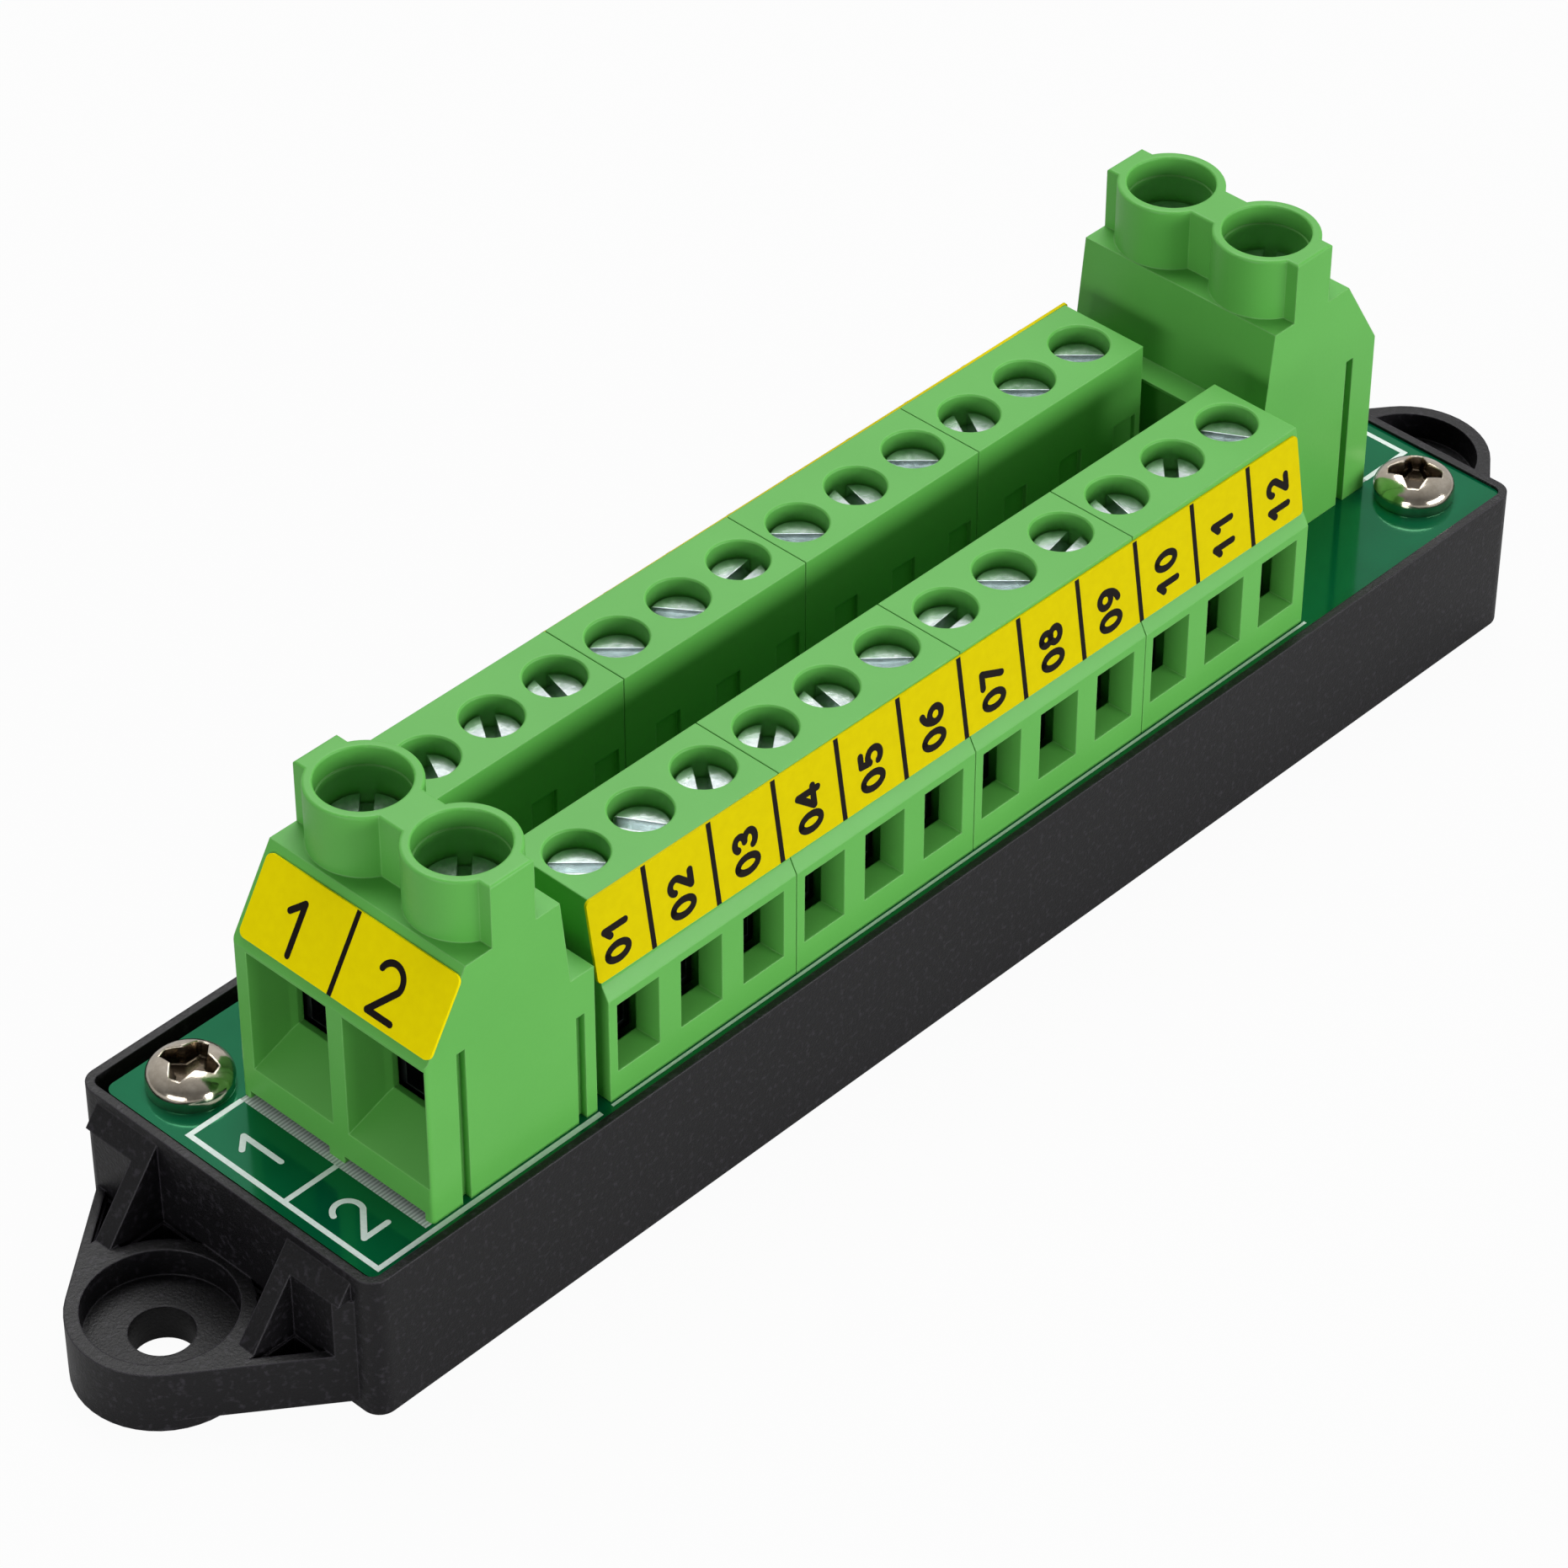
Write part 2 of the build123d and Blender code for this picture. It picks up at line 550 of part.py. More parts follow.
# Feed housing, made as the left one
left = -feed_front_x
near = feed_side - feed_half
far = feed_side + feed_half
pole_y = [feed_side - (n - (feed_ways - 1) / 2) * feed_pitch for n in range(feed_ways)]
tower_x = left + feed_tower_x
with BuildPart() as feed_housing:
    with BuildSketch(across(far)):
        with BuildLine():
            Polyline(
                (left, base_to_board),
                (left, base_to_board + feed_face_height),
                (left + feed_slope_run, base_to_board + feed_shoulder_height),
                (left + feed_rear_step, base_to_board + feed_shoulder_height),
                (left + feed_rear_step + feed_rear_lean, base_to_board + feed_ledge_height),
                (left + feed_depth, base_to_board + feed_ledge_height),
                (left + feed_depth, base_to_board),
                close=True,
            )
        make_face()
        fillet([v for v in vertices() if v.Z > base_to_board + feed_face_height / 2],
               radius=feed_edge_round)
    extrude(amount=far - near)
    fillet(feed_housing.edges().filter_by(Axis.Z).group_by(Axis.X)[0], radius=feed_edge_round)
    with BuildSketch(Plane.XY.offset(base_to_board + feed_shoulder_height)):
        with Locations([(tower_x, y) for y in pole_y]):
            Circle(feed_tower_dia / 2)
        with Locations((tower_x, feed_side)):
            Rectangle(feed_web, far - near)
    extrude(amount=feed_tower_height - feed_shoulder_height)
    fillet(feed_housing.edges().group_by(Axis.Z)[-1], radius=feed_top_round)
    with BuildSketch(Plane.XY.offset(base_to_board)):
        with Locations([(left + (feed_chamber_front + feed_chamber_back) / 2, y) for y in pole_y]):
            Rectangle(feed_chamber_back - feed_chamber_front, feed_chamber_width)
    extrude(amount=feed_chamber_top - base_to_board, mode=Mode.SUBTRACT)
    with BuildSketch(Plane.XY.offset(base_to_board)):
        with Locations([(left + (feed_chamber_front + feed_foot_back) / 2, y) for y in pole_y]):
            Rectangle(feed_foot_back - feed_chamber_front, feed_chamber_width)
    extrude(amount=feed_foot_height, mode=Mode.SUBTRACT)
    with BuildSketch(Plane.YZ.offset(left + feed_depth)):
        with Locations((feed_side, base_to_board + feed_pocket_low)):
            Rectangle(feed_pocket_width, feed_ledge_height - feed_pocket_lip - feed_pocket_low,
                      align=(Align.CENTER, Align.MIN))
    extrude(amount=-feed_pocket_depth, mode=Mode.SUBTRACT)
    with BuildSketch(Plane.XY.offset(feed_top)):
        with Locations([(tower_x, y) for y in pole_y]):
            Circle(feed_access_mouth_dia / 2)
    extrude(amount=-feed_access_mouth_depth, mode=Mode.SUBTRACT)
    mouth_edges = [e for e in feed_housing.edges().filter_by(GeomType.CIRCLE).group_by(Axis.Z)[-1]
                   if abs(e.radius - feed_access_mouth_dia / 2) < feed_mouth_round / 2]
    fillet(mouth_edges, radius=feed_mouth_round)
    with BuildSketch(Plane.XY.offset(feed_top)):
        with Locations([(tower_x, y) for y in pole_y]):
            Circle(feed_head_dia / 2 + feed_access_gap)
    extrude(amount=-(feed_top - feed_seat), mode=Mode.SUBTRACT)
    with BuildSketch(Plane.XY.offset(feed_seat)):
        with Locations([(tower_x, y) for y in pole_y]):
            Circle(feed_shank_dia / 2 + shank_gap)
    extrude(amount=-feed_shelf, mode=Mode.SUBTRACT)
    # wire entries: a funnel, its steep inner part, then a straight throat into the chamber
    entry_height = feed_entry_high - feed_entry_low
    throat_height = entry_height - feed_entry_rise - feed_throat_rise
    throat_x = left + feed_funnel_depth + feed_throat_run
    for y in pole_y:
        sections = (
            (left, y + feed_entry_shift, feed_entry_width, entry_height),
            (left + feed_funnel_depth, y + feed_entry_shift, feed_entry_width - 2 * feed_entry_taper,
             entry_height - feed_entry_rise),
            (throat_x, y + feed_throat_shift, feed_throat_width, throat_height),
        )
        for pair in (sections[:2], sections[1:]):
            for x, middle, width, height in pair:
                with BuildSketch(Plane.YZ.offset(x)):
                    with Locations((middle, base_to_board + feed_entry_high)):
                        Rectangle(width, height, align=(Align.CENTER, Align.MAX))
            loft(mode=Mode.SUBTRACT)
    with BuildSketch(Plane.YZ.offset(throat_x)):
        with Locations([(y + feed_throat_shift, base_to_board + feed_entry_high) for y in pole_y]):
            Rectangle(feed_throat_width, throat_height, align=(Align.CENTER, Align.MAX))
    extrude(amount=left + feed_chamber_front - throat_x, mode=Mode.SUBTRACT)
    # joining grooves on both sides
    groove_places = (
        (left + feed_groove_from_edge, feed_groove_front_height),
        (left + feed_depth - feed_groove_rear_from_edge - feed_groove_width, feed_groove_rear_height),
    )
    for x, height in groove_places:
        with BuildSketch(across(near)):
            with Locations((x, base_to_board)):
                Rectangle(feed_groove_width, height, align=(Align.MIN, Align.MIN))
        extrude(amount=-feed_groove_depth, mode=Mode.SUBTRACT)
        with BuildSketch(across(far)):
            with Locations((x, base_to_board)):
                Rectangle(feed_groove_width, height, align=(Align.MIN, Align.MIN))
        extrude(amount=feed_groove_depth, mode=Mode.SUBTRACT)
    # the front face stands on three feet
    foot_span = feed_half - feed_foot_end - feed_foot_width / 2
    with BuildSketch(Plane.YZ.offset(left)):
        with Locations([(feed_side + s * (feed_foot_width + foot_span) / 2, base_to_board) for s in (-1, 1)]):
            Rectangle(foot_span, feed_foot_gap, align=(Align.CENTER, Align.MIN))
    extrude(amount=feed_foot_depth, mode=Mode.SUBTRACT)

# Large clamp screw with its axis on Z
with BuildPart() as feed_screw:
    with BuildSketch(Plane.XY.offset(feed_seat)):
        Circle(feed_head_dia / 2)
    extrude(amount=feed_head_height)
    chamfer(feed_screw.edges().group_by(Axis.Z)[-1], length=small_rim_bevel * 2)
    with BuildSketch(Plane.XY.offset(feed_seat)):
        Circle(feed_shank_dia / 2)
    extrude(amount=-(feed_seat - feed_cage_ceiling))
    with BuildSketch(Plane.XY.offset(feed_head_top)):
        Rectangle(feed_head_dia * 2, feed_slot_width)
    extrude(amount=-feed_slot_depth, mode=Mode.SUBTRACT)

# Rising cage of a feed way, lowered, with the screw line at Y = 0
with BuildPart() as feed_cage:
    with BuildSketch(Plane.YZ.offset(left + feed_cage_front)):
        with Locations((0, feed_cage_floor - feed_cage_base)):
            Rectangle(feed_cage_width, feed_cage_z - feed_cage_floor + feed_cage_base,
                      align=(Align.CENTER, Align.MIN))
        with Locations((0, feed_cage_floor)):
            Rectangle(feed_cage_width - 2 * feed_cage_side, feed_cage_ceiling - feed_cage_floor,
                      align=(Align.CENTER, Align.MIN), mode=Mode.SUBTRACT)
    extrude(amount=feed_cage_length)
    with BuildSketch(Plane.XY.offset(feed_cage_z)):
        with Locations((tower_x, 0)):
            Circle(feed_shank_dia / 2 + thread_gap)
    extrude(amount=-feed_cage_top, mode=Mode.SUBTRACT)

# Contact of a feed way, with the screw line at Y = 0
with BuildPart() as feed_contact:
    with BuildSketch(Plane.XY.offset(feed_strip_top)):
        with Locations((left + feed_cage_front, 0)):
            Rectangle(feed_foot_back - feed_cage_front, feed_strip_width,
                      align=(Align.MIN, Align.CENTER))
    extrude(amount=-feed_strip_thickness)
    with BuildSketch(Plane.YZ.offset(left + feed_leg_x)):
        with Locations((0, base_to_board)):
            Rectangle(feed_strip_width, feed_strip_top - base_to_board, align=(Align.CENTER, Align.MIN))
        with Locations((-feed_pin_spacing / 2, pin_bottom), (feed_pin_spacing / 2, pin_bottom)):
            Rectangle(feed_pin_width, base_to_board - pin_bottom, align=(Align.CENTER, Align.MIN))
    extrude(amount=feed_strip_thickness)

# The two feed housings and what they hold
feed_slots = {"left": (44, 44), "right": (30, -20)}
contacts = []
for end, turn in (("left", Location()), ("right", half_turn)):
    save(feed_housing.part.moved(turn), f"{end}_feed_housing")
    for n, y in enumerate(pole_y):
        slot = Location((tower_x, y, 0), (0, 0, feed_slots[end][n]))
        save(feed_screw.part.moved(turn * slot), f"{end}_feed_screw_{n + 1}")
        save(feed_cage.part.moved(turn * Location((0, y, 0))), f"{end}_feed_cage_{n + 1}")
        contacts.append(feed_contact.part.moved(turn * Location((0, y, 0))))
save_group(contacts, "feed_contacts")

# Marking strip on the front row's sloping faces
slope_y = small_label_foot_out - small_top_front
slope_z = small_height - small_label_foot
strip_tilt = Plane(
    origin=(0, -row_y - small_top_front - slope_y / 2, small_top - slope_z / 2),
    x_dir=(1, 0, 0),
    z_dir=(0, -slope_z, slope_y),
)
with BuildPart() as label_strip:
    with BuildSketch(strip_tilt):
        with Locations(Location((strip_label_shift, 0), strip_label_skew)):
            RectangleRounded(strip_label_length, strip_label_width, strip_label_corner)
    extrude(amount=label_thickness)
save(label_strip.part.moved(Location()), "front_label_strip")
save(label_strip.part.moved(half_turn), "rear_label_strip")

# Marking plate on the feed housing's sloping face
rise = feed_shoulder_height - feed_face_height
plate_tilt = Plane(
    origin=(left + feed_slope_run / 2, feed_side + feed_label_shift, base_to_board + feed_face_height + rise / 2),
    x_dir=(0, -1, 0),
    z_dir=(-rise, 0, feed_slope_run),
)
with BuildPart() as feed_label:
    with BuildSketch(plate_tilt):
        RectangleRounded(feed_label_width, hypot(rise, feed_slope_run) - 2 * feed_label_inset,
                         feed_label_corner)
    extrude(amount=label_thickness)
save(feed_label.part.moved(Location()), "left_feed_label")
save(feed_label.part.moved(half_turn), "right_feed_label")
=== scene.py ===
import bpy
import json
import math
import numpy as np
from mathutils import Matrix, Vector


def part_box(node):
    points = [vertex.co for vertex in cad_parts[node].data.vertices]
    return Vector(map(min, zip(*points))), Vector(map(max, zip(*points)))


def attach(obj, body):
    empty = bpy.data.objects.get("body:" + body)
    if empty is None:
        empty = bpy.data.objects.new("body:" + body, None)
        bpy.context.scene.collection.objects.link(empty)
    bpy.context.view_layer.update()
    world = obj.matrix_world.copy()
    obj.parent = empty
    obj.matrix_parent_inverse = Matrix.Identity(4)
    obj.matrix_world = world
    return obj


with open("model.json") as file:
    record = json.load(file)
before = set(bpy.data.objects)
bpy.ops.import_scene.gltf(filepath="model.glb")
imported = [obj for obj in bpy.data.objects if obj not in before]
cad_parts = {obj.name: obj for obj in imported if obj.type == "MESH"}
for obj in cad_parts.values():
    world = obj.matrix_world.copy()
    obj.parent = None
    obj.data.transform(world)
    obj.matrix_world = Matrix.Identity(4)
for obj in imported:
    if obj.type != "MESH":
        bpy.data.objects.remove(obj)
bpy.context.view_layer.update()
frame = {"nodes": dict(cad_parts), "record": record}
nodes = frame["nodes"]
mainBody = "block"
mm = 0.001
print("frame loaded:", len(nodes), "nodes")


# Colours are written as sRGB hex and turned to linear here
def colour(hexText, alpha=1.0):
    values = np.array([int(hexText[k:k + 2], 16) for k in (1, 3, 5)]) / 255
    linear = np.where(values <= 0.04045, values / 12.92, ((values + 0.055) / 1.055) ** 2.4)
    return (*linear.tolist(), alpha)


# Adds one node with its settings, its input values and its links
def addNode(tree, kind, inputs=None, **settings):
    made = tree.nodes.new("ShaderNode" + kind)
    for name, value in settings.items():
        setattr(made, name, value)
    for name, value in (inputs or {}).items():
        if isinstance(value, bpy.types.NodeSocket):
            tree.links.new(value, made.inputs[name])
        else:
            made.inputs[name].default_value = value
    return made


# An empty material, its tree and the object coordinates that its patterns read
def newMaterial(name):
    material = bpy.data.materials.new(name)
    material.use_nodes = True
    tree = material.node_tree
    tree.nodes.clear()
    place = addNode(tree, "TexCoord").outputs["Object"]
    return material, tree, place


def closeMaterial(tree, shader):
    addNode(tree, "OutputMaterial", {"Surface": shader})


# How far each point lies on an edge, from 0 to strength: there the cosine between the rounded normal and the
# true one falls below 1
edgeCosine = {"starts": 0.995, "full": 0.85}


def edgeMask(tree, rounded, strength):
    true = addNode(tree, "NewGeometry").outputs["Normal"]
    along = addNode(tree, "VectorMath", {0: rounded, 1: true}, operation="DOT_PRODUCT")
    return addNode(tree, "MapRange", {"Value": along.outputs["Value"], "From Min": edgeCosine["starts"],
                                      "From Max": edgeCosine["full"], "To Max": strength}).outputs["Result"]


# Nylon housings, injection moulded: satin, saturated, with a faint uneven skin and a painted highlight on soft
# edges.
# Here and below, cloud, grain, specks, ripple, mottle, marks, edge and depth are in mm. The real grain is nearer
# 0.05 mm and is drawn coarser, so that it shows
def housingNylonMaterial():
    look = {"base": "#5EAC4D", "shade": "#54A043", "cloud": 7, "pale": "#8FD37C", "edgeHighlightShare": 0.45, "edge": 0.13,
            "ior": 1.53, "gloss": 0.3, "roughness": 0.42, "smoother": 0.05, "rougher": 0.08,
            "grain": 0.22, "bump": 0.22, "depth": 0.02}
    material, tree, place = newMaterial("housingNylon")
    cloud = addNode(tree, "TexNoise", {"Vector": place, "Scale": 1 / (look["cloud"] * mm), "Detail": 3.0})
    tone = addNode(tree, "Mix", {"Factor": cloud.outputs["Fac"], "A": colour(look["shade"]),
                                 "B": colour(look["base"])}, data_type="RGBA")
    grain = addNode(tree, "TexNoise", {"Vector": place, "Scale": 1 / (look["grain"] * mm), "Detail": 2.0})
    rough = addNode(tree, "MapRange", {"Value": grain.outputs["Fac"], "To Min": look["roughness"] - look["smoother"],
                                       "To Max": look["roughness"] + look["rougher"]})
    edge = addNode(tree, "Bevel", {"Radius": look["edge"] * mm}, samples=6)
    # Painted highlight: the edges are mixed towards the pale tone
    skin = addNode(tree, "Mix", {"Factor": edgeMask(tree, edge.outputs["Normal"], look["edgeHighlightShare"]),
                                 "A": tone.outputs["Result"], "B": colour(look["pale"])}, data_type="RGBA")
    bump = addNode(tree, "Bump", {"Height": grain.outputs["Fac"], "Strength": look["bump"],
                                  "Distance": look["depth"] * mm, "Normal": edge.outputs["Normal"]})
    shader = addNode(tree, "BsdfPrincipled", {"Base Color": skin.outputs["Result"], "IOR": look["ior"],
                                              "Specular IOR Level": look["gloss"],
                                              "Roughness": rough.outputs["Result"],
                                              "Normal": bump.outputs["Normal"]})
    closeMaterial(tree, shader.outputs["BSDF"])
    return material


# Carrier in black ABS, moulded in a spark-eroded tool: fine even grain, drawn coarser so that it shows, a grey
# sheen with a few pale specks, and a painted highlight on its edges
def carrierAbsMaterial():
    look = {"base": "#09080B", "scuffAndHighlight": "#3A373E", "specks": 0.4, "speckStarts": 0.55, "speckFull": 0.75,
            "speckStrength": 0.4, "edgeHighlightAmount": 0.75, "edge": 0.15, "ior": 1.53, "gloss": 0.27,
            "roughness": 0.44, "smoother": 0.06, "rougher": 0.08, "cloud": 5,
            "grain": 0.2, "grainRoughness": 0.6, "bump": 0.55, "depth": 0.06}
    material, tree, place = newMaterial("carrierAbs")
    grain = addNode(tree, "TexNoise", {"Vector": place, "Scale": 1 / (look["grain"] * mm), "Detail": 3.0,
                                       "Roughness": look["grainRoughness"]})
    cloud = addNode(tree, "TexNoise", {"Vector": place, "Scale": 1 / (look["cloud"] * mm), "Detail": 4.0})
    specks = addNode(tree, "TexNoise", {"Vector": place, "Scale": 1 / (look["specks"] * mm), "Detail": 2.0})
    speckMask = addNode(tree, "MapRange", {"Value": specks.outputs["Fac"], "From Min": look["speckStarts"],
                                           "From Max": look["speckFull"], "To Max": look["speckStrength"]})
    tone = addNode(tree, "Mix", {"Factor": speckMask.outputs["Result"], "A": colour(look["base"]),
                                 "B": colour(look["scuffAndHighlight"])}, data_type="RGBA")
    rough = addNode(tree, "MapRange", {"Value": cloud.outputs["Fac"], "To Min": look["roughness"] - look["smoother"],
                                       "To Max": look["roughness"] + look["rougher"]})
    edge = addNode(tree, "Bevel", {"Radius": look["edge"] * mm}, samples=6)
    # Painted highlight on the edges, in the same pale tone as the scuff specks
    skin = addNode(tree, "Mix", {"Factor": edgeMask(tree, edge.outputs["Normal"], look["edgeHighlightAmount"]),
                                 "A": tone.outputs["Result"], "B": colour(look["scuffAndHighlight"])}, data_type="RGBA")
    bump = addNode(tree, "Bump", {"Height": grain.outputs["Fac"], "Strength": look["bump"],
                                  "Distance": look["depth"] * mm, "Normal": edge.outputs["Normal"]})
    shader = addNode(tree, "BsdfPrincipled", {"Base Color": skin.outputs["Result"], "IOR": look["ior"],
                                              "Specular IOR Level": look["gloss"],
                                              "Roughness": rough.outputs["Result"],
                                              "Normal": bump.outputs["Normal"]})
    closeMaterial(tree, shader.outputs["BSDF"])
    return material


# Glass-epoxy laminate under green solder resist: dark, glossy, slightly rippled where it was curtain coated.
# The copper under the resist gives its reflections a green tint, and the sawn edges show the bare core
def solderResistMaterial():
    look = {"resist": "#006842", "copper": "#04744B", "core": "#8F8A55", "coreBelow": -0.6, "resistAbove": 0.6,
            "ior": 1.5, "roughness": 0.10, "metal": 0.5, "ripple": 3, "bump": 0.08, "depth": 0.05}
    material, tree, place = newMaterial("solderResist")
    ripple = addNode(tree, "TexNoise", {"Vector": place, "Scale": 1 / (look["ripple"] * mm), "Detail": 1.0})
    tone = addNode(tree, "Mix", {"Factor": ripple.outputs["Fac"], "A": colour(look["resist"]),
                                 "B": colour(look["copper"])}, data_type="RGBA")
    facing = addNode(tree, "SeparateXYZ", {"Vector": addNode(tree, "NewGeometry").outputs["Normal"]})
    flat = addNode(tree, "MapRange", {"Value": facing.outputs["Z"], "From Min": look["coreBelow"],
                                      "From Max": look["resistAbove"]})
    skin = addNode(tree, "Mix", {"Factor": flat.outputs["Result"], "A": colour(look["core"]),
                                 "B": tone.outputs["Result"]}, data_type="RGBA")
    bump = addNode(tree, "Bump", {"Height": ripple.outputs["Fac"], "Strength": look["bump"],
                                  "Distance": look["depth"] * mm})
    shader = addNode(tree, "BsdfPrincipled", {"Base Color": skin.outputs["Result"], "IOR": look["ior"],
                                              "Metallic": look["metal"], "Roughness": look["roughness"],
                                              "Normal": bump.outputs["Normal"]})
    closeMaterial(tree, shader.outputs["BSDF"])
    return material


# Yellow polyester marking film, thermal printed: smooth satin with a little paper-like mottling
filmSkin = {"ior": 1.48, "gloss": 0.03, "roughness": 0.45, "mottle": 0.6, "bump": 0.12, "depth": 0.02}


def markingFilmMaterial(name, dull, film):
    material, tree, place = newMaterial(name)
    mottle = addNode(tree, "TexNoise", {"Vector": place, "Scale": 1 / (filmSkin["mottle"] * mm), "Detail": 4.0})
    tone = addNode(tree, "Mix", {"Factor": mottle.outputs["Fac"], "A": colour(dull), "B": colour(film)},
                   data_type="RGBA")
    bump = addNode(tree, "Bump", {"Height": mottle.outputs["Fac"], "Strength": filmSkin["bump"],
                                  "Distance": filmSkin["depth"] * mm})
    shader = addNode(tree, "BsdfPrincipled", {"Base Color": tone.outputs["Result"], "IOR": filmSkin["ior"],
                                              "Specular IOR Level": filmSkin["gloss"],
                                              "Roughness": filmSkin["roughness"],
                                              "Normal": bump.outputs["Normal"]})
    closeMaterial(tree, shader.outputs["BSDF"])
    return material


# Printed ink, thin and matt, with slightly uneven cover or in fine lines; hatch is the width of one line in mm.
# A wave texture turns by waveRate radians for each unit of its scale, and one line and one gap are a full turn
inkCover = 0.25
hatchWaver = 0.4
waveRate = 20


def inkMaterial(name, look):
    material, tree, place = newMaterial(name)
    if look.get("hatch"):
        cover = addNode(tree, "TexWave", {"Vector": place, "Scale": 1 / (look["hatch"] * mm) / waveRate * math.pi,
                                          "Distortion": hatchWaver}, bands_direction="Y")
    else:
        cover = addNode(tree, "TexNoise", {"Vector": place, "Scale": 1 / (inkCover * mm), "Detail": 2.0})
    tone = addNode(tree, "Mix", {"Factor": cover.outputs["Fac"], "A": colour(look["thin"]),
                                 "B": colour(look["full"])}, data_type="RGBA")
    shader = addNode(tree, "BsdfPrincipled", {"Base Color": tone.outputs["Result"],
                                              "Specular IOR Level": look["gloss"], "Roughness": look["roughness"]})
    closeMaterial(tree, shader.outputs["BSDF"])
    return material


# Where the walls of a drive recess lie: near a screw's axis and below the dome around it
def recessMask(tree, place, recess):
    flat = addNode(tree, "VectorMath", {0: place, 1: (1, 1, 0)}, operation="MULTIPLY").outputs["Vector"]
    near = [addNode(tree, "VectorMath", {0: flat, 1: axis}, operation="DISTANCE").outputs["Value"]
            for axis in recess["axes"]]
    nearest = addNode(tree, "Math", {0: near[0], 1: near[1]}, operation="MINIMUM")
    inside = addNode(tree, "Math", {0: nearest.outputs["Value"], 1: recess["radius"]}, operation="LESS_THAN")
    height = addNode(tree, "SeparateXYZ", {"Vector": place}).outputs["Z"]
    low = addNode(tree, "MapRange", {"Value": height, "From Min": recess["top"] - recess["starts"],
                                     "From Max": recess["top"] - recess["full"], "To Max": recess["strength"]})
    return addNode(tree, "Math", {0: inside.outputs["Value"], 1: low.outputs["Result"]},
                   operation="MULTIPLY").outputs["Value"]


# Plated metal keeps the default IOR. Fine tool marks run across it, vary its roughness by swing and blur its
# reflections, and painted shade darkens a drive recess, more so further down
metalSkin = {"marksRoughness": 0.65, "swing": 0.3, "depth": 0.02}


def platedMaterial(name, look):
    material, tree, place = newMaterial(name)
    marks = addNode(tree, "TexNoise", {"Vector": place, "Scale": 1 / (look["marks"] * mm), "Detail": 5.0,
                                       "Roughness": metalSkin["marksRoughness"]})
    tone = addNode(tree, "Mix", {"Factor": marks.outputs["Fac"], "A": colour(look["dull"]),
                                 "B": colour(look["bright"])}, data_type="RGBA")
    if look.get("recess"):
        # Painted shade: the drive recess darkens towards its bottom
        tone = addNode(tree, "Mix", {"Factor": recessMask(tree, place, look["recess"]), "A": tone.outputs["Result"],
                                     "B": colour(look["recess"]["recessShade"])}, data_type="RGBA")
    rough = addNode(tree, "MapRange", {"Value": marks.outputs["Fac"],
                                       "To Min": look["roughness"] * (1 - metalSkin["swing"]),
                                       "To Max": look["roughness"] * (1 + metalSkin["swing"])})
    edge = addNode(tree, "Bevel", {"Radius": look["edge"] * mm}, samples=5)
    bump = addNode(tree, "Bump", {"Height": marks.outputs["Fac"], "Strength": look["bump"],
                                  "Distance": metalSkin["depth"] * mm, "Normal": edge.outputs["Normal"]})
    shader = addNode(tree, "BsdfPrincipled", {"Base Color": tone.outputs["Result"], "Metallic": 1.0,
                                              "Roughness": rough.outputs["Result"],
                                              "Normal": bump.outputs["Normal"]})
    closeMaterial(tree, shader.outputs["BSDF"])
    return material


housingNylon = housingNylonMaterial()
carrierAbs = carrierAbsMaterial()
solderResist = solderResistMaterial()
markingFilm = markingFilmMaterial("markingFilm", dull="#C4B400", film="#D0C100")
# The feed labels are the same film as the rows', painted brighter to stand in for light that their sloped faces miss
litFeedFilm = markingFilmMaterial("litFeedFilm", dull="#DDCB00", film="#E8D800")
labelInk = inkMaterial("labelInk", {"thin": "#170F0A", "full": "#0A0604", "roughness": 0.6, "gloss": 0.1})
boardInk = inkMaterial("boardInk", {"thin": "#C4D4CE", "full": "#E4EEEA", "roughness": 0.55, "gloss": 0.5})
hatchedInk = inkMaterial("hatchedInk", {"thin": "#93A09B", "full": "#D2DAD7", "roughness": 0.6, "gloss": 0.5,
                                        "hatch": 0.12})

# Clamp screws, bright zinc: a cold white satin with turning marks
zincPlate = platedMaterial("zincPlate", {"dull": "#B4C4C5", "bright": "#F4F8F8", "roughness": 0.21,
                                         "marks": 0.5, "edge": 0.06, "bump": 0.4})

# Board screws, bright nickel: a warm mirror on a slightly uneven dome. One stands at the left end behind the
# middle line, and the other is there after half a turn
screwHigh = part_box("board_screws")[1]
# Painted shade in the drive recesses, darkest deep below the dome
driveRecess = {"headRadius": 2.575 * mm, "radius": 1.85 * mm, "starts": 0.4 * mm, "full": 0.8 * mm,
               "strength": 0.85, "recessShade": "#3A2C1B", "top": screwHigh.z}
screwX, screwY = screwHigh.x - driveRecess["headRadius"], screwHigh.y - driveRecess["headRadius"]
driveRecess["axes"] = ((-screwX, screwY, 0), (screwX, -screwY, 0))
nickelPlate = platedMaterial("nickelPlate", {"dull": "#A39683", "bright": "#EDE4D5", "roughness": 0.14,
                                             "marks": 0.9, "edge": 0.16, "bump": 0.6,
                                             "recess": driveRecess})

# Clamp cages, zinc plated, painted dark grey to stand in for the shade deep in the wire mouths
shadedCageZinc = platedMaterial("shadedCageZinc", {"dull": "#2A2E2E", "bright": "#565C5C", "roughness": 0.4,
                                       "marks": 0.8, "edge": 0.1, "bump": 0.2})

# Contacts, tinned copper: a soft white metal
contactTin = platedMaterial("contactTin", {"dull": "#8E8C86", "bright": "#C9C6BE", "roughness": 0.35,
                                           "marks": 0.7, "edge": 0.08, "bump": 0.15})

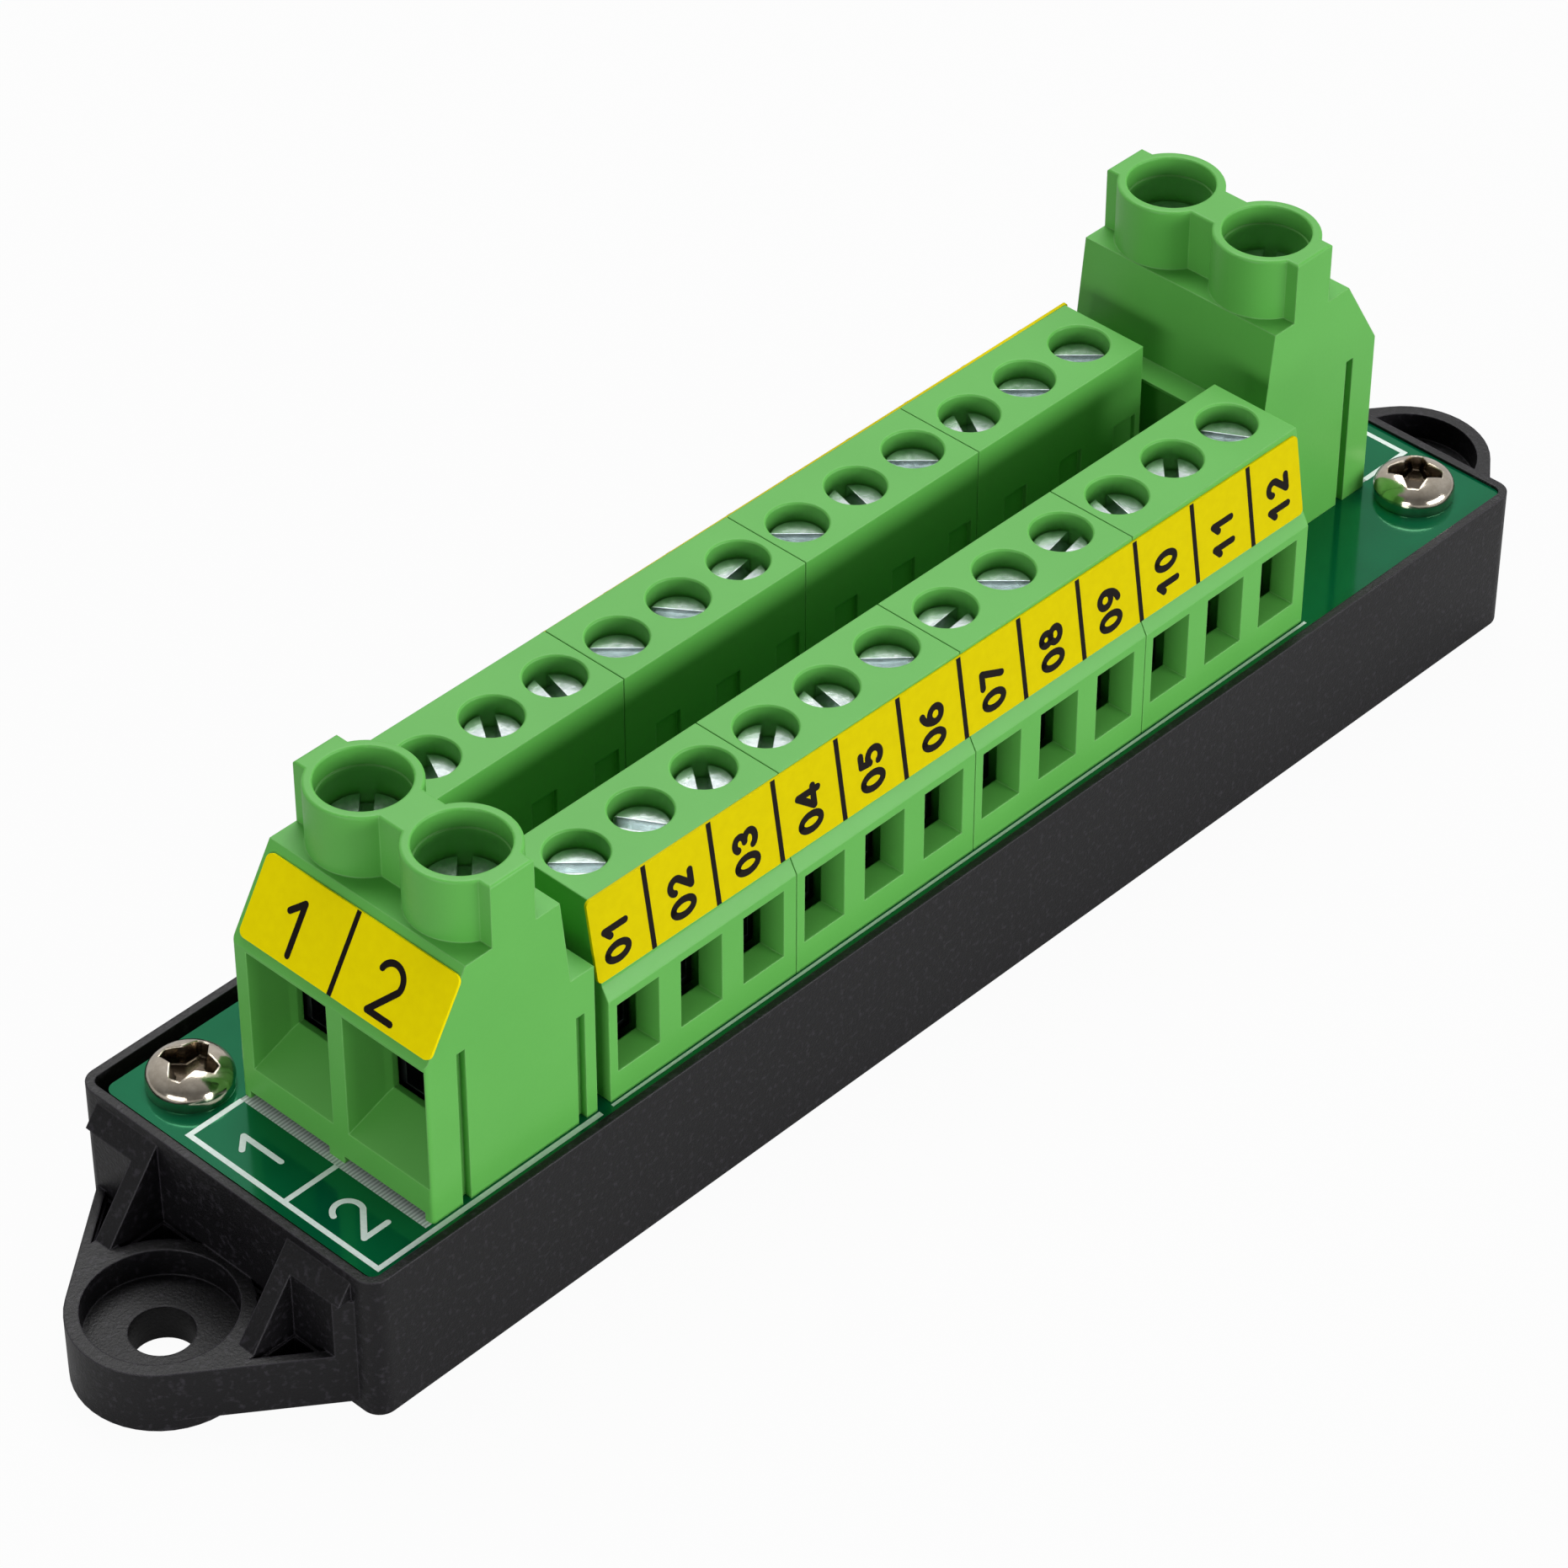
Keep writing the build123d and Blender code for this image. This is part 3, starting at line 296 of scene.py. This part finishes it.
slotMaterials = {
    "carrier_plastic": carrierAbs,
    "board_laminate": solderResist,
    "nickel_steel": nickelPlate,
    "housing_plastic": housingNylon,
    "label_film": markingFilm,
    "zinc_steel": zincPlate,
    "plated_steel": shadedCageZinc,
    "tinned_copper": contactTin,
}
for part in frame["record"]["subparts"]:
    solid = nodes[part["node"]]
    solid.data.materials.clear()
    solid.data.materials.append(slotMaterials[part["material_slot"]])
# Painted light: the feed labels get the brighter copy of the film
for node in ("left_feed_label", "right_feed_label"):
    nodes[node].data.materials[0] = litFeedFilm
print("materials assigned")


# Puts new data into the scene as an object
def addObject(name, data):
    made = bpy.data.objects.new(name, data)
    bpy.context.scene.collection.objects.link(made)
    return made


# Places a finished mesh as a piece that rides with the block
def addPiece(name, vertices, faces, material):
    mesh = bpy.data.meshes.new(name)
    mesh.from_pydata(vertices.tolist(), [], faces.tolist())
    mesh.materials.append(material)
    mesh.update()
    made = addObject(name, mesh)
    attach(made, mainBody)


# A flat surface to print on: the middle of its outer face, its reading direction, its up direction, its outward
# normal and its size. The three directions are those in which the label's corners spread most, less and least
def labelSurface(node, readsAlong):
    corners = np.array([v.co for v in nodes[node].data.vertices])
    middle = corners.mean(0)
    axes = np.linalg.eigh(np.cov((corners - middle).T))[1]
    right = axes[:, 2] * np.sign(axes[:, 2] @ np.array(readsAlong))
    normal = axes[:, 0] * np.sign(axes[2, 0])
    up = np.cross(normal, right)
    local = (corners - middle) @ np.stack([right, up, normal], 1)
    low, high = local.min(0), local.max(0)
    centre = (low + high) / 2
    origin = middle + right * centre[0] + up * centre[1] + normal * high[2]
    return {"origin": origin, "right": right, "up": up, "normal": normal, "size": high - low}


# Lifts flat print onto a surface: each point is origin + right*u + up*v + normal*w
def onSurface(surface, local):
    basis = np.stack([surface["right"], surface["up"], surface["normal"]])
    return surface["origin"] + local @ basis


inkThickness = 0.012 * mm


# Printed bars, each given by its two corners (u0, v0, u1, v1), as thin closed boxes: low corner + cube*size
def addBars(name, surface, bars, material):
    cube = np.array([[a, b, c] for c in (0, 1) for b in (0, 1) for a in (0, 1)], float)
    quads = np.array([[0, 2, 3, 1], [4, 5, 7, 6], [0, 1, 5, 4], [2, 6, 7, 3], [0, 4, 6, 2], [1, 3, 7, 5]])
    spans = np.asarray(bars, float)
    low = np.column_stack([spans[:, 0:2], np.zeros(len(spans))])
    size = np.column_stack([spans[:, 2:4] - spans[:, 0:2], np.full(len(spans), inkThickness)])
    points = (low[:, None, :] + cube[None] * size[:, None, :]).reshape(-1, 3)
    faces = (quads[None] + len(cube) * np.arange(len(spans))[:, None, None]).reshape(-1, 4)
    addPiece(name, onSurface(surface, points), faces, material)


# Divider lines across the whole height of a label
def dividerBars(surface, places, width):
    half = surface["size"][1] / 2
    return [(u - width / 2, -half, u + width / 2, half) for u in places]


# Centre lines of the figures, figureWidth wide and 1 high. An arc is centre + radii*(cos, sin) from one angle to
# another, with a point for each arcStep degrees and six more
figureWidth = 0.6
arcStep = 12


def arc(x, y, across, rise, first, last):
    angle = np.radians(np.linspace(first, last, 6 + int(abs(last - first) / arcStep)))
    return np.stack([x + across * np.cos(angle), y + rise * np.sin(angle)], 1)


def straight(x0, y0, x1, y1):
    return np.linspace((x0, y0), (x1, y1), 3)


sixLines = [arc(0.3, 0.3, 0.3, 0.3, 180, 540), arc(0.62, 0.3, 0.62, 0.7, 180, 104)]
figureLines = {
    "0": [arc(0.3, 0.5, 0.3, 0.5, 90, 450)],
    "1": [straight(0.06, 0.74, 0.34, 1), straight(0.34, 1, 0.34, 0)],
    "2": [np.concatenate([arc(0.29, 0.71, 0.28, 0.29, 160, -25), [(0.02, 0)]]), straight(0.02, 0, 0.6, 0)],
    "3": [arc(0.28, 0.76, 0.27, 0.24, 155, -90), arc(0.26, 0.26, 0.33, 0.26, 90, -150)],
    "4": [straight(0.52, 0, 0.52, 1), straight(0.52, 1, -0.1, 0.24), straight(-0.1, 0.24, 0.7, 0.24)],
    "5": [straight(0.54, 1, 0.11, 1), straight(0.11, 1, 0.07, 0.56), arc(0.27, 0.32, 0.32, 0.32, 130, -145)],
    "6": sixLines,
    "7": [straight(0, 1, 0.6, 1), straight(0.6, 1, 0.22, 0)],
    "8": [arc(0.3, 0.75, 0.24, 0.25, 90, 450), arc(0.3, 0.26, 0.3, 0.26, 90, 450)],
    "9": [np.array([figureWidth, 1.0]) - line for line in sixLines],
}

capTurns = np.radians([80, 55, 25])     # where the round end of a stroke has its points, from its tip inwards


# A pen stroke: the centre line widened by half a pen on both sides, its ends closed by half circles, and one
# film of ink thick. Each point of the line gives a ring of four corners, and the rings are joined by quads
def penStroke(line, pen, thickness):
    along = np.gradient(line, axis=0)
    along /= np.linalg.norm(along, axis=1, keepdims=True)
    start = line[0] - along[0] * pen / 2 * np.sin(capTurns)[:, None]
    finish = line[-1] + along[-1] * pen / 2 * np.sin(capTurns[::-1])[:, None]
    centre = np.concatenate([start, line, finish])
    half = np.concatenate([np.cos(capTurns), np.ones(len(line)), np.cos(capTurns[::-1])])[:, None] * pen / 2
    capPoints = len(capTurns)
    along = np.concatenate([np.repeat(along[:1], capPoints, 0), along, np.repeat(along[-1:], capPoints, 0)])
    left = np.stack([-along[:, 1], along[:, 0]], 1) * half
    count = len(centre)
    points = np.zeros((count, 4, 3))
    points[:, (0, 3), 0:2] = (centre + left)[:, None]
    points[:, (1, 2), 0:2] = (centre - left)[:, None]
    points[:, 2:4, 2] = thickness
    row, side = np.meshgrid(np.arange(count - 1), np.arange(4), indexing="ij")
    after = (side + 1) % 4
    quads = np.stack([row * 4 + side, row * 4 + 4 + side, row * 4 + 4 + after, row * 4 + after], -1).reshape(-1, 4)
    caps = np.array([[0, 1, 2, 3], [4 * count - 1, 4 * count - 2, 4 * count - 3, 4 * count - 4]])
    return points.reshape(-1, 3), np.concatenate([quads, caps])


strokeLift = 0.12       # how much thicker each further stroke of a figure is, so that no two tops share a plane


# Printed numbers; look gives the figures' height, pen, width factor, the gap between them and their turn
def addNumbers(name, surface, entries, look, material):
    vertices, faces, count = [], [], 0
    rise = look["height"] - look["pen"]
    advance = figureWidth * rise * look["width"] + look["pen"] + look["gap"]
    turn = math.radians(look["turn"])
    spin = np.array([[math.cos(turn), math.sin(turn)], [-math.sin(turn), math.cos(turn)]])
    for number, u, v in entries:
        offset = -(advance * len(number) - look["gap"]) / 2 if look["centred"] else 0
        for place, figure in enumerate(number):
            for layer, line in enumerate(figureLines[figure]):
                stroke = line * (rise * look["width"], rise) + (offset + place * advance, -look["height"] / 2)
                points, quads = penStroke(stroke + look["pen"] / 2, look["pen"],
                                          inkThickness * (1 + strokeLift * layer))
                points[:, 0:2] = points[:, 0:2] @ spin + (u, v)
                vertices.append(points)
                faces.append(quads + count)
                count += len(points)
    addPiece(name, onSurface(surface, np.concatenate(vertices)), np.concatenate(faces), material)


# Long marking strips: a divider between cells and two upright figures in each, read along the slope
rowPrint = {
    "cells": 12,
    "cellPitch": 5.11 * mm,
    "firstDivider": -25.69 * mm,    # from the strip's middle
    "dividerWidth": 0.36 * mm,
    "figureStart": -2.1 * mm,       # below the strip's middle
    "figureShift": -2.6 * mm,       # from a divider back to the middle of its cell
    "figures": {"height": 2.05 * mm, "pen": 0.46 * mm, "width": 1.0, "gap": 0.16 * mm, "turn": 90,
                "centred": False},
}
for node, readsAlong, firstNumber in (("front_label_strip", (1, 0, 0), 1), ("rear_label_strip", (-1, 0, 0), 13)):
    surface = labelSurface(node, readsAlong)
    cellEnds = [rowPrint["firstDivider"] + n * rowPrint["cellPitch"] for n in range(rowPrint["cells"])]
    addBars(node + "_dividers", surface, dividerBars(surface, cellEnds[:-1], rowPrint["dividerWidth"]),
            labelInk)
    entries = [(f"{firstNumber + n:02d}", u + rowPrint["figureShift"], rowPrint["figureStart"])
               for n, u in enumerate(cellEnds)]
    addNumbers(node + "_figures", surface, entries, rowPrint["figures"], labelInk)

# Feed labels: one divider and one tall figure in each half
feedPrint = {
    "divider": -0.28 * mm,
    "dividerWidth": 0.33 * mm,
    "figurePlaces": (-3.95 * mm, 3.3 * mm),
    "figureRise": -0.42 * mm,
    "figures": {"height": 3.5 * mm, "pen": 0.4 * mm, "width": 1.0, "gap": 0.3 * mm, "turn": 0, "centred": True},
}
for node, readsAlong, firstNumber in (("left_feed_label", (0, -1, 0), 1), ("right_feed_label", (0, 1, 0), 3)):
    surface = labelSurface(node, readsAlong)
    addBars(node + "_divider", surface, dividerBars(surface, [feedPrint["divider"]], feedPrint["dividerWidth"]),
            labelInk)
    entries = [(str(firstNumber + n), u, feedPrint["figureRise"]) for n, u in enumerate(feedPrint["figurePlaces"])]
    addNumbers(node + "_figures", surface, entries, feedPrint["figures"], labelInk)
print("labels printed")

# White print on the board, the same at both ends after half a turn: a box open towards the feed housing, where a
# hatched band closes it, a line on beside that housing, and a thin outline along the row
boardPrint = {
    "line": 0.34 * mm,
    "thinLine": 0.2 * mm,
    "box": (-48.1 * mm, -11.1 * mm, -43.98 * mm, 4.45 * mm),
    "boxDivider": -3.42 * mm,
    "band": (-44.0 * mm, -10.5 * mm, -43.05 * mm, 4.4 * mm),
    "outlineGap": 0.12 * mm,
    "figures": {"height": 3.4 * mm, "pen": 0.36 * mm, "width": 1.0, "gap": 0.3 * mm, "turn": 0, "centred": True},
    "figurePlaces": ((-46.0 * mm, 0.55 * mm), (-46.0 * mm, -7.15 * mm)),
}
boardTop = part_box("circuit_board")[1].z
for end, turned, row, firstNumber in (("left", 1, "front", 1), ("right", -1, "rear", 3)):
    surface = {"origin": np.array([0, 0, boardTop]), "right": np.array([turned, 0, 0]),
               "up": np.array([0, turned, 0]), "normal": np.array([0, 0, 1.0])}
    line, thin, gap = boardPrint["line"], boardPrint["thinLine"], boardPrint["outlineGap"]
    u0, v0, u1, v1 = boardPrint["box"]
    innerX = min(abs(corner.x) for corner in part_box(end + "_feed_housing"))
    rowEnd = max(abs(corner.x) for n in ("1", "4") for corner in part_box(row + "_housing_" + n))
    rowEdge = max(abs(corner.y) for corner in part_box(row + "_housing_1"))
    bars = [
        (u0, v0, u1, v0 + line),
        (u0, v1 - line, u1, v1),
        (u0, v0 + line, u0 + line, v1 - line),
        (u0 + line, boardPrint["boxDivider"] - line / 2, u1, boardPrint["boxDivider"] + line / 2),
        (u1, v0, -innerX, v0 + line),
        (-rowEnd - gap, -rowEdge - gap - thin, rowEnd + gap, -rowEdge - gap),
    ]
    addBars(end + "_board_lines", surface, bars, boardInk)
    addBars(end + "_board_band", surface, [boardPrint["band"]], hatchedInk)
    entries = [(str(firstNumber + n), *place) for n, place in enumerate(boardPrint["figurePlaces"])]
    addNumbers(end + "_board_figures", surface, entries, boardPrint["figures"], boardInk)
print("board printed")


# How far the white background stands in for the real floor or room: wholly to the camera, in part to mirror rays
def whiteShare(tree, toCamera, toMirrors):
    path = addNode(tree, "LightPath").outputs
    mirrored = addNode(tree, "Math", {0: path["Is Glossy Ray"], 1: path["Is Transmission Ray"]}, operation="MAXIMUM")
    reflected = addNode(tree, "Math", {0: mirrored.outputs["Value"], 1: toMirrors}, operation="MULTIPLY")
    direct = addNode(tree, "Math", {0: path["Is Camera Ray"], 1: toCamera}, operation="MULTIPLY")
    return addNode(tree, "Math", {0: direct.outputs["Value"], 1: reflected.outputs["Value"]},
                   operation="MAXIMUM").outputs["Value"]


# Floor: one broad pale sheet under the carrier; half is half its side in metres
floorLook = {"half": 3.0, "tone": "#A6A6A6", "toCamera": 0.96, "toMirrors": 0.22}
floorMesh = bpy.data.meshes.new("floor")
half = floorLook["half"]
floorMesh.from_pydata([(-half, -half, 0), (half, -half, 0), (half, half, 0), (-half, half, 0)], [], [(0, 1, 2, 3)])
floor = addObject("floor", floorMesh)
floorMaterial, tree = newMaterial("paleFloor")[0:2]
matt = addNode(tree, "BsdfDiffuse", {"Color": colour(floorLook["tone"])})
bright = addNode(tree, "Emission", {"Color": (1, 1, 1, 1), "Strength": 1.0})
mixed = addNode(tree, "MixShader", {0: whiteShare(tree, floorLook["toCamera"], floorLook["toMirrors"]),
                                    1: matt.outputs["BSDF"], 2: bright.outputs["Emission"]})
closeMaterial(tree, mixed.outputs["Shader"])
floorMesh.materials.append(floorMaterial)

# The room: paler behind the object than in front. Its strength goes from front to behind as the cosine to the
# direction towards goes from darkUpTo to paleFrom
roomLook = {"front": 0.11, "behind": 0.62, "towards": (0.62, 0.60, 0.50), "darkUpTo": -0.2, "paleFrom": 0.9,
            "toCamera": 1.0, "toMirrors": 0.06}
world = bpy.data.worlds.new("studio")
bpy.context.scene.world = world
world.use_nodes = True
tree = world.node_tree
tree.nodes.clear()
around = addNode(tree, "VectorMath", {0: addNode(tree, "TexCoord").outputs["Generated"],
                                      1: Vector(roomLook["towards"]).normalized()}, operation="DOT_PRODUCT")
level = addNode(tree, "MapRange", {"Value": around.outputs["Value"], "From Min": roomLook["darkUpTo"],
                                   "From Max": roomLook["paleFrom"], "To Min": roomLook["front"],
                                   "To Max": roomLook["behind"]})
room = addNode(tree, "Background", {"Color": (1, 1, 1, 1), "Strength": level.outputs["Result"]})
white = addNode(tree, "Background", {"Color": (1, 1, 1, 1), "Strength": 1.0})
sky = addNode(tree, "MixShader", {0: whiteShare(tree, roomLook["toCamera"], roomLook["toMirrors"]),
                                  1: room.outputs["Background"], 2: white.outputs["Background"]})
addNode(tree, "OutputWorld", {"Surface": sky.outputs["Shader"]})

# Soft lamps, all aimed at the middle of the base: a broad one above and behind, and two wide low ones that light
# the front and the left end and leave the screw wells dark. Places and sizes are in metres, power in watts
lampLook = {
    "front": {"from": (0.25, -1.0, 0.20), "wide": 0.9, "high": 0.35, "power": 10.2},
    "top": {"from": (0.30, 0.30, 0.90), "wide": 0.6, "high": 0.6, "power": 7.6},
    "left": {"from": (-0.60, -0.14, 0.11), "wide": 0.4, "high": 0.2, "power": 1.7},
}
for name, look in lampLook.items():
    lamp = bpy.data.lights.new(name + "Lamp", "AREA")
    lamp.shape = "RECTANGLE"
    lamp.size, lamp.size_y = look["wide"], look["high"]
    lamp.energy = look["power"]
    holder = addObject(name + "Lamp", lamp)
    holder.location = look["from"]
    holder.rotation_mode = "QUATERNION"
    holder.rotation_quaternion = (-Vector(look["from"])).to_track_quat("-Z", "Y")

# Camera: fitted to the photograph, level but for a tenth of a degree. Angles are in degrees, the focal length
# and the frame's width in pixels of the photograph, the place in metres and the sensor in millimetres
view = {
    "azimuth": -46.447,
    "elevation": 39.692,
    "roll": 0.096,
    "focal": 6848.6,
    "width": 1862,
    "place": (-0.193894, -0.179762, 0.228318),
    "sensor": 36,
    "clip": (0.01, 20),
}
camera = bpy.data.cameras.new("camera")
camera.sensor_width = view["sensor"]
camera.lens = view["focal"] / view["width"] * view["sensor"]
camera.clip_start, camera.clip_end = view["clip"]
eye = addObject("camera", camera)
azimuth, elevation, roll = (math.radians(view[k]) for k in ("azimuth", "elevation", "roll"))
back = Vector((math.sin(azimuth) * math.cos(elevation), -math.cos(azimuth) * math.cos(elevation),
               math.sin(elevation)))
level = Vector((math.cos(azimuth), math.sin(azimuth), 0))
right = level * math.cos(roll) + back.cross(level) * math.sin(roll)
up = back.cross(right)
eye.matrix_world = Matrix.Translation(view["place"]) @ Matrix((right, up, back)).transposed().to_4x4()
bpy.context.scene.camera = eye
bpy.context.scene.view_settings.view_transform = "Standard"
print("camera and lamps set")
